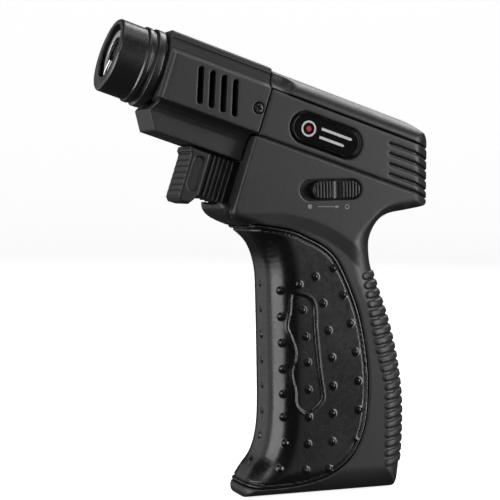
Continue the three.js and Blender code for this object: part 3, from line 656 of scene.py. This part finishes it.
def nose_housing():
    """The vented sleeve in front of the frame."""
    g = Grid((13.6, -14.2, -19.6), (50.2, 14.2, 14), 0.25)
    width = np.abs(g.b)
    panel = [
        (0, 14), (HALF_WIDTH, 14), (HALF_WIDTH, PANEL_FLOOR), (11.6, -9.2), (9.4, -9.9), (8.1, -11.2),
        (KEEL_HALF, -12.6), (KEEL_HALF, KEEL_FLOOR),
    ]
    section = outline(width, g.c, [*panel, (-20, KEEL_FLOOR), (-20, 14)])
    lean = np.maximum(0.34 * (width - 6.2) + (g.c - COVER_TOP), g.c - COVER_TOP)
    section = round_and(section, lean, 0.3)
    flute = np.hypot(width - FLUTE_Y, g.c - FLUTE_V) - FLUTE_R
    section = cut(section, flute, 0.25)
    for line_y, line_v in FLUTE_LINES:
        section = cut(section, np.hypot(width - line_y, g.c - line_v) - 0.4, 0.1)
    side = outline(g.a, g.c, [
        (NOSE_FRONT, 20), (NOSE_REAR, 20), (NOSE_REAR, -9.3), (48.0, -9.3), (48.0, -30),
        (25, -30), (18.7, -18.2), (15.2, -12.6), (16.7, -9.6), (NOSE_FRONT, -8.7),
    ])
    solid = round_and(section, side, 0.3)
    solid = round_and(solid, KEEL_FLOOR + 0.05 - g.c, 0.35)
    radius = np.hypot(g.b, g.c)
    solid = cut(solid, np.maximum(radius - NOSE_BORE_R, 17.6 - g.a))
    solid = cut(solid, np.maximum(radius - 9.9, g.a - 20), 0.3)
    solid = cut(solid, box([(g.a, 40.5, 55), (g.b, -11.1, 11.1), (g.c, -7.5, 3.9)]))
    solid = cut(solid, box([(g.a, 20.5, 60), (g.b, -5.4, 5.4), (g.c, -16.6, -7)]))
    lip = np.maximum(np.abs(g.a - 17.0) - 0.3, (HALF_WIDTH - 0.35) - width)
    solid = cut(solid, lip, 0.2)
    lean_angle = math.pi / 2 + math.radians(17.4 - 2.5)
    for i in range(VENTS):
        spot = (VENT_U + VENT_PITCH * i, VENT_V)
        vent = capsule(g.a, g.c, spot, VENT_LENGTH, VENT_WIDTH, lean_angle)
        solid = cut(solid, np.maximum(vent, 6 - width), 0.15)
    axis = np.hypot(g.a - NOSE_SCREW[0], g.c - NOSE_SCREW[1])
    solid = cut(solid, np.maximum(axis - 1.85, 11.7 - width), 0.15)
    solid = cut(solid, axis - 1.2)
    made = surface("nose", g, solid, BARREL)
    finish_piece(made, NOSE_PLASTIC, "torch", "nose_plastic", "nose_housing")


def top_cover():
    """The domed cover along the top, with the nose's flutes running out at its front."""
    g = Grid((48.6, -14, 4.6), (108.5, 14, 13.8), 0.3)
    width = np.abs(g.b)
    half, rise = 12.4, COVER_TOP - COVER_BASE
    scaled = np.sqrt((width / half) ** 2 + (np.maximum(g.c - COVER_BASE, 0) / rise) ** 2)
    solid = (scaled - 1) * rise / np.maximum(scaled, 0.4)
    solid = round_and(solid, COVER_BASE - g.c, 0.2)
    solid = round_and(solid, FRAME_FRONT - g.a, 0.35)
    x = MUZZLE_X + g.a * COS + g.c * SIN
    z = MUZZLE_Z - g.a * SIN + g.c * COS
    slope = ((x - 53.0) * 7.4 + (z - 118.6) * 8.5) / math.hypot(7.4, 8.5)
    solid = round_and(solid, slope, 0.35)
    round_back = np.hypot(np.maximum(x - REAR_CENTRE, 0), g.b) - REAR_R + 0.2
    solid = round_and(solid, round_back, 0.5)
    flute = np.sqrt(
        np.maximum(g.a - 52.6, 0) ** 2 + (width - FLUTE_Y) ** 2 + (g.c - FLUTE_V) ** 2
    ) - FLUTE_R
    solid = cut(solid, flute, 0.3)
    inner = (np.sqrt((width / 10.4) ** 2 + (np.maximum(g.c - 4.8, 0) / 6.0) ** 2) - 1) * 6.0
    solid = cut(solid, np.maximum(inner, np.maximum(60 - g.a, g.a - 96)))
    made = surface("top_cover", g, solid, BARREL)
    finish_piece(made, COVER_PLASTIC, "torch", "frame_plastic", "top_rail_cover")


# ---- trigger ---------------------------------------------------------------------------------
def trigger():
    """A grooved finger pad on a ribbed block that slides into the frame."""
    g = Grid((30.6, -7.2, -37.2), (61.2, 7.2, -17.4), 0.2)
    width = np.abs(g.b)
    pad_side = outline(g.a, g.c, [
        (31.6, -18.7), (38.7, -18.9), (38.7, -32.3), (36.2, -35.9), (33.4, -36), (32.3, -34.8),
        (32.3, -21.2), (31.5, -20.2),
    ])
    pad = round_and(pad_side, width - 6.45, 0.9)
    groove_pitch, groove_r = 1.95, 0.42
    for i in range(8):
        groove = np.hypot(g.a - 32.2, g.c + 20.6 + groove_pitch * i) - groove_r
        pad = cut(pad, np.maximum(groove, width - 5.9), 0.2)
    oval = capsule(g.a, g.c, (35.6, -26.3), 10.8, 3.6, math.pi / 2)
    pad = cut(pad, np.maximum(oval, 5.8 - width), 0.35)
    block = box([(g.a, 37, 60.2), (g.b, -4.7, 4.7), (g.c, -32.1, -19)])
    solid = np.minimum(pad, block)
    rib_pitch, rib_width = 1.6, 0.6
    for i in range(5):
        start = 39.9 + rib_pitch * i
        rib = box([(g.a, start, start + rib_width), (g.b, -5.6, 5.6), (g.c, -32.4, -18.9)])
        solid = np.minimum(solid, rib)
    solid = cut(solid, box([(g.a, 49, 57), (g.b, -3.9, 3.9), (g.c, -40, -20.7)]))
    made = surface("trigger_blade", g, solid, BARREL)
    finish_piece(made, TRIGGER_PLASTIC, "trigger_body", "trigger_plastic", "trigger")


# ---- muzzle ----------------------------------------------------------------------------------
def muzzle():
    """The turned guard with its two rings, and the bright flame ring just inside its lip."""
    guard = lathe("guard", rounded_profile([
        (8.4, 0), (11.0, 0), (GUARD_R, 0.5), (GUARD_R, 8.3), (11.95, 8.8), (11.95, 10.1),
        (11.3, 10.5), (11.3, 11.3), (12.25, 11.7), (12.25, 13.8), (11.5, 14.2), (11.5, 14.8),
        (9.6, 14.8), (9.6, 20), (BORE_R, 20), (BORE_R, 1.0), (8.4, 0.8),
    ], 0.22), BARREL, segments=128, lift=FLAME_V, lift_within=8.7)
    finish_piece(guard, GUARD_PLASTIC, "torch", "guard_plastic", "muzzle_guard")
    tube = lathe("burner", rounded_profile([
        (5.1, 2.1), (5.9, 2.1), (5.9, 20), (4.6, 23), (4.6, 25), (3.4, 25), (3.4, 22.8), (5.1, 20),
    ], 0.2), BARREL)
    finish_piece(tube, DARK_STEEL, "torch", "steel", "burner_tube")
    raised = BARREL @ Matrix.Translation((0, 0, FLAME_V))
    flange = lathe("flame_ring", rounded_profile([
        (4.8, 1.3), (FLAME_R - 0.3, 1.3), (FLAME_R, 1.6), (FLAME_R, 2.2), (4.8, 2.2),
    ], 0.25), raised)
    finish_piece(flange, BURNER_STEEL, "torch", "steel", "burner_tube")
    electrode()


def electrode():
    """A bent spark wire that comes round the rim of the flame ring."""
    route = smooth([
        (24.0, 0, -7.3), (10, 0, -7.3), (3, 0, -7.3), (1.75, 0, -7.05), (0.95, -0.15, -6.1),
        (0.68, -1.1, -4.6), (0.68, -2.9, -1.9),
    ], 8)
    data = bpy.data.curves.new("electrode_wire", "CURVE")
    data.dimensions = "3D"
    data.bevel_depth, data.bevel_resolution, data.use_fill_caps = 0.52 * MM, 6, True
    line = data.splines.new("POLY")
    line.points.add(len(route) - 1)
    for point, spot in zip(line.points, place(np.array(route), BARREL)):
        point.co = (*spot, 1)
    made = bpy.data.objects.new("electrode_wire", data)
    bpy.context.scene.collection.objects.link(made)
    finish_piece(made, STEEL, "torch", "steel", "spark_electrode")


# ---- screws ----------------------------------------------------------------------------------
def screw(name, node, place_xz, side, head_r, head_top, head_bottom, shank_r, shank_end):
    """A domed cross-recessed screw whose axis lies across the torch."""
    reach = head_r + 0.4
    step = 0.09
    g = Grid((-reach, shank_end - 0.4, -reach), (reach, head_top + 0.5, reach), step)
    axis = np.hypot(g.a, g.c)
    ball = np.sqrt(g.a ** 2 + (g.b - (head_top - 6.0)) ** 2 + g.c ** 2) - 6.0
    head = round_and(np.maximum(axis - head_r, head_bottom - g.b), ball, 0.15)
    shank = np.maximum(axis - shank_r, np.maximum(shank_end - g.b, g.b - head_bottom - 0.3))
    solid = np.minimum(head, shank)
    arm, half = head_r * 0.66, head_r * 0.14
    deep = head_top - 0.75 * (head_top - head_bottom)
    taper = (g.b - head_top) * 0.3
    for p, q in ((g.a, g.c), (g.c, g.a)):
        slot = np.maximum(np.maximum(np.abs(p) - arm - taper, np.abs(q) - half), deep - g.b)
        solid = cut(solid, slot)
    x, z = place_xz
    turn = Matrix.Rotation(0.4, 4, "Y")
    flip = Matrix.Scale(-1, 4, (0, 1, 0)) if side < 0 else IDENTITY
    made = surface(name, g, solid, Matrix.Translation((x, 0, z)) @ flip @ turn)
    finish_piece(made, DARK_STEEL, "torch", "dark_steel", node)


def screws():
    for i, spot in enumerate(FRAME_SCREWS):
        screw(f"shell_screw_{i + 1}", f"frame_screw_{i + 1}", spot, 1, 2.3, 12.5, 11.5, 1.2, -8.2)
    spot = at(*NOSE_SCREW)
    screw("nose_screw_a", "nose_screw_left", spot, -1, 1.6, 12.75, 11.9, 0.9, 8.4)
    screw("nose_screw_b", "nose_screw_right", spot, 1, 1.6, 12.75, 11.9, 0.9, 8.4)


# ---- lock switch ---------------------------------------------------------------------------
def lock_switch():
    """A ribbed thumb slider with a hollow in its middle."""
    g = Grid((-12.2, -14.1, -5.2), (11.6, -6, 5.2), 0.12)
    pad = capsule(g.a, g.c, (0, 0), 16.4, 5.6)
    pad = round_and(np.maximum(pad, g.b + 9.6), -13.7 - g.b, 0.5)
    for i in range(6):
        for side in (-1, 1):
            spot = side * (1.75 + 1.08 * i)
            groove = np.maximum(np.abs(g.a - spot) - 0.24, g.b + 13.05)
            pad = cut(pad, groove, 0.12)
    valley = np.hypot(g.a, g.b + 15.6) - 2.5
    pad = cut(pad, valley, 0.15)
    plate = np.maximum(capsule(g.a, g.c, (PLATE_X - PAD_X, 0), 21.4, 8.6), np.abs(g.b + 10.0) - 0.6)
    peg = box([(g.a, -6.9, -2.1), (g.b, -9.6, -6.6), (g.c, -2.2, 2.2)])
    solid = np.minimum(np.minimum(pad, plate), peg)
    turn = Matrix.Rotation(-SWITCH_TILT, 4, "Y")
    made = surface("thumb_slider", g, solid, Matrix.Translation((PAD_X, 0, SWITCH_Z)) @ turn)
    finish_piece(made, SWITCH_PLASTIC, "lock_body", "switch_plastic", "lock_slider")


def flat_shape(name, points, y0, y1, matrix, material):
    """A thin raised print or plate with a given side-view outline."""
    count = len(points)
    low = [(x, y0, z) for x, z in points]
    high = [(x, y1, z) for x, z in points]
    faces = [tuple(range(count)), tuple(range(2 * count - 1, count - 1, -1))]
    faces += [(i, (i + 1) % count, count + (i + 1) % count, count + i) for i in range(count)]
    made = new_object(name, place(np.array(low + high, float), matrix), faces)
    tidy(made)
    made.data.shade_flat()
    finish_piece(made, material, "torch", None)
    return made


def circle(r, count=32, start=0.0):
    steps = [start + 2 * math.pi * i / count for i in range(count)]
    return [(r * math.cos(a), r * math.sin(a)) for a in steps]


def ring(name, spot, inner, outer, y0, y1, material, matrix=IDENTITY):
    """A flat printed ring whose axis lies across the torch."""
    x, z = spot
    across = Matrix(((0, 1, 0, x), (1, 0, 0, 0), (0, 0, 1, z), (0, 0, 0, 1)))
    made = lathe(name, [(inner, y0), (outer, y0), (outer, y1), (inner, y1)], matrix @ across, 48)
    made.data.shade_flat()
    finish_piece(made, material, "torch", None)


def switch_marks():
    """A filled dot, an arrow and an open ring under the slider: locked, and off."""
    y0, y1 = -HALF_WIDTH - 0.03, -HALF_WIDTH + 0.05
    z = SWITCH_Z - 5.3
    shift = Matrix.Translation((SWITCH_X - 6.4, 0, z))
    flat_shape("mark_dot", circle(0.75), y0, y1, shift, GREY_INK)
    arrow = [(-3.6, -0.12), (2.4, -0.12), (2.4, -0.55), (3.8, 0), (2.4, 0.55), (2.4, 0.12), (-3.6, 0.12)]
    flat_shape("mark_arrow", arrow, y0, y1, Matrix.Translation((SWITCH_X, 0, z)), GREY_INK)
    ring("mark_ring", (SWITCH_X + 6.4, z), 0.5, 0.8, y0, y1, GREY_INK)


# ---- badge ------------------------------------------------------------------------------------
def badges():
    """Glossy plates with a plain ring, dot and two stripes printed on them."""
    for label, side in (("left", -1), ("right", 1)):
        g = Grid((-13.2, -13.5, -5.6), (13.2, -11.8, 5.6), 0.14)
        plate = capsule(g.a, g.c, (0, 0), BADGE_LENGTH, BADGE_HEIGHT)
        plate = round_and(np.maximum(plate, g.b + 12.2), -13.1 - g.b, 0.45)
        rim = np.abs(capsule(g.a, g.c, (0, 0), BADGE_LENGTH - 1.7, BADGE_HEIGHT - 1.7)) - 0.14
        plate = cut(plate, np.maximum(rim, g.b + 12.98), 0.08)
        spot = BARREL @ Matrix.Translation((BADGE_U, 0, BADGE_V))
        made = surface(f"badge_plate_{label}", g, plate, spot, mirror=side > 0)
        finish_piece(made, BADGE_GLOSS, "torch", "badge_gloss", f"badge_{label}")
        y0, y1 = side * 13.14, side * 13.05
        ring(f"emblem_ring_{label}", (-6.6 * -side, 0), 1.9, 2.5, y0, y1, WHITE_INK, spot)
        dot = spot @ Matrix.Translation((-6.6 * -side, 0, 0))
        flat_shape(f"emblem_dot_{label}", circle(0.85), y0, y1, dot, RED_INK)
        for k, (level, length) in enumerate(((1.35, 10.5), (-1.35, 8.5))):
            bar = [(0, -0.42), (length, -0.42), (length + 0.5, 0), (length, 0.42), (0, 0.42)]
            start = -2.4 if side < 0 else 2.4
            turned = [(start - side * x, z + level) for x, z in bar]
            flat_shape(f"emblem_stripe_{k + 1}_{label}", turned, y0, y1, spot, WHITE_INK)


# ---- inner parts keep their CAD shape and get a finish ------------------------------------------
FINISHES = {
    "flame_screen": DARK_STEEL, "burner_collar": DARK_STEEL, "air_baffle": NEAR_BLACK_STEEL, "mixing_tube": BRASS,
    "jet_nozzle": BRASS, "jet_washer": RUBBER, "electrode_insulator": CERAMIC,
    "ignition_wire": WIRE, "piezo_igniter": NYLON, "piezo_plunger": DARK_STEEL,
    "trigger_spring": STEEL, "gas_valve_body": BRASS, "gas_valve_stem": STEEL, "valve_lever": NYLON,
    "lever_pin": STEEL, "gas_hose": HOSE, "lock_detent_spring": STEEL, "tank_cap": BRASS,
    "riser_tube": HOSE, "refill_valve_body": BRASS, "refill_valve_stem": STEEL,
    "refill_oring": RUBBER, "refill_spring": STEEL, "adjuster_body": BRASS,
    "flame_adjuster": DARK_STEEL,
}


def inner_parts():
    for node, material in FINISHES.items():
        data = frame["nodes"][node].data
        data.materials.clear()
        data.materials.append(material)


# ---- studio --------------------------------------------------------------------------------------
def camera():
    """A view a little to the left of square on and nearly level."""
    azimuth, elevation, roll = (math.radians(a) for a in (-21.82, 2.51, 0.37))
    distance = 0.4419
    target = Vector((SHIFT * MM, 0, 0.0778))
    back = Vector((
        math.sin(azimuth) * math.cos(elevation), -math.cos(azimuth) * math.cos(elevation),
        math.sin(elevation),
    ))
    right = Vector((math.cos(azimuth), math.sin(azimuth), 0))
    up = back.cross(right)
    image_right = math.cos(roll) * right + math.sin(roll) * up
    image_up = math.cos(roll) * up - math.sin(roll) * right
    data = bpy.data.cameras.new("camera")
    data.lens, data.sensor_width = 100.7, 36.0
    made = bpy.data.objects.new("camera", data)
    made.matrix_world = Matrix((
        (image_right.x, image_up.x, back.x, target.x + distance * back.x),
        (image_right.y, image_up.y, back.y, target.y + distance * back.y),
        (image_right.z, image_up.z, back.z, target.z + distance * back.z),
        (0, 0, 0, 1),
    ))
    bpy.context.scene.collection.objects.link(made)
    bpy.context.scene.camera = made


def floor():
    """A pale floor that turns up into a round pale wall."""
    flat, bend, height = 1.6, 0.8, 2.4
    profile = [(0.0, 0.0), (0.3, 0.0), (flat, 0.0)]
    bend_steps = 12
    for i in range(1, bend_steps + 1):
        a = math.pi / 2 * i / bend_steps
        profile.append((flat + bend * math.sin(a), bend * (1 - math.cos(a))))
    profile.append((flat + bend, height))
    points, faces, segments = [], [], 64
    for i in range(segments):
        a = 2 * math.pi * i / segments
        points += [(r * math.cos(a), r * math.sin(a), z) for r, z in profile]
        n = (i + 1) % segments
        for k in range(len(profile) - 1):
            a0, b0 = i * len(profile) + k, n * len(profile) + k
            faces.append((a0, b0, b0 + 1, a0 + 1))
    made = new_object("floor", points, faces)
    tidy(made)
    s = Shader("floor_paper", Roughness=0.9, Emission_Strength=0.86)
    s.principled.inputs["Emission Color"].default_value = (1, 1, 1, 1)
    s.link(s.mix(s.noise(30.0), (0.86, 0.86, 0.86), (0.9, 0.9, 0.9)), s.principled.inputs["Base Color"])
    made.data.materials.append(s.material)
    made.visible_diffuse = False
    made.visible_glossy = False


def area_light(name, spot, target, size, power, size_y=None):
    data = bpy.data.lights.new(name, "AREA")
    data.shape = "RECTANGLE"
    data.size, data.size_y = size, size_y or size
    data.energy = power
    made = bpy.data.objects.new(name, data)
    made.location = spot
    made.rotation_euler = (Vector(target) - Vector(spot)).to_track_quat("-Z", "Y").to_euler()
    bpy.context.scene.collection.objects.link(made)


def lights():
    """Large soft boxes round a dark surround, each seen in one set of faces."""
    middle = (0, 0, 0.08)
    area_light("key", (-0.55, -0.65, 0.75), middle, 0.4, 1.4)
    area_light("side", (0.42, -1.05, 0.1), middle, 0.6, 0.4, 0.8)
    area_light("top", (0.1, -0.1, 0.95), middle, 0.6, 1.0)
    area_light("front", (-0.98, -0.16, 0.12), middle, 1.0, 9.5, 0.8)
    area_light("rear", (0.76, -0.64, 0.15), middle, 0.4, 9.0, 0.9)
    area_light("back", (0.57, 0.42, 0.72), middle, 0.5, 3.6)
    area_light("far", (-0.7, 0.72, 0.15), middle, 1.0, 1.5, 0.8)
    world = bpy.data.worlds.new("studio")
    world.use_nodes = True
    world.node_tree.nodes["Background"].inputs["Color"].default_value = (1, 1, 1, 1)
    world.node_tree.nodes["Background"].inputs["Strength"].default_value = 0.05
    bpy.context.scene.world = world
    bpy.context.scene.view_settings.view_transform = "Standard"


camera()
floor()
lights()
frame_shells()
fuel_tank()
nose_housing()
top_cover()
trigger()
muzzle()
screws()
lock_switch()
switch_marks()
badges()
inner_parts()
